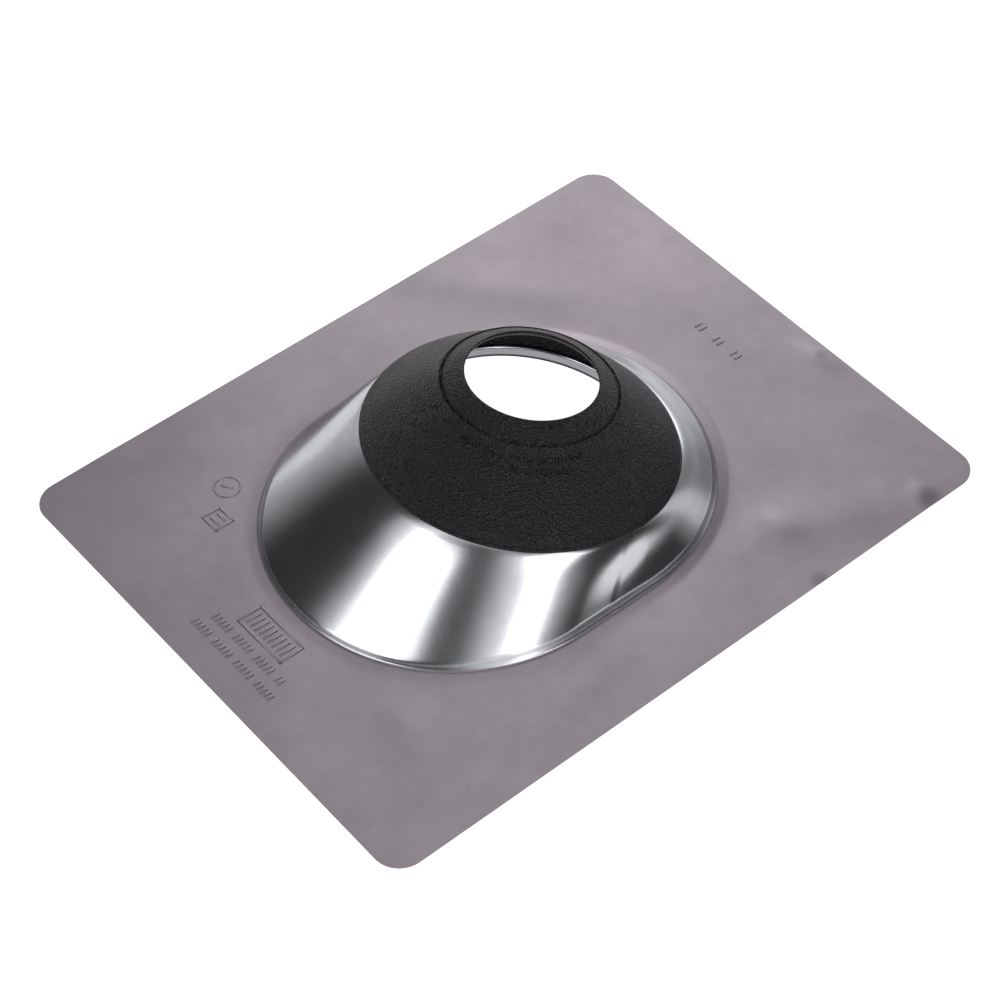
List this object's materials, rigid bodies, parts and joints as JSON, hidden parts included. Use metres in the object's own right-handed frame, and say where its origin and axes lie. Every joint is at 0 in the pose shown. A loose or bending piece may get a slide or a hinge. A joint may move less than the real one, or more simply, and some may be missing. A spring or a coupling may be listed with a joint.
{
  "type": "pipe flashing boot",
  "caption": "Roof flashing for a vent pipe: a pressed galvanised sheet with a lofted dome and a leaning black rubber collar that grips the pipe.",
  "frame": {"origin": "middle of the plate's underside", "axes": "+Z square to the roof, +Y up the slope along the plate's long side, +X across the slope"},
  "size_m": [0.3174, 0.4064, 0.0806],
  "materials": {
    "galvanised_sheet": "satin galvanised sheet, drawn to a brighter burnish on the dome",
    "black_rubber": "semi-matt moulded rubber with a fine pebble grain"
  },
  "bodies": {
    "root": {"steel_base": "galvanised_sheet", "rubber_collar": "black_rubber"}
  },
  "joints": []
}
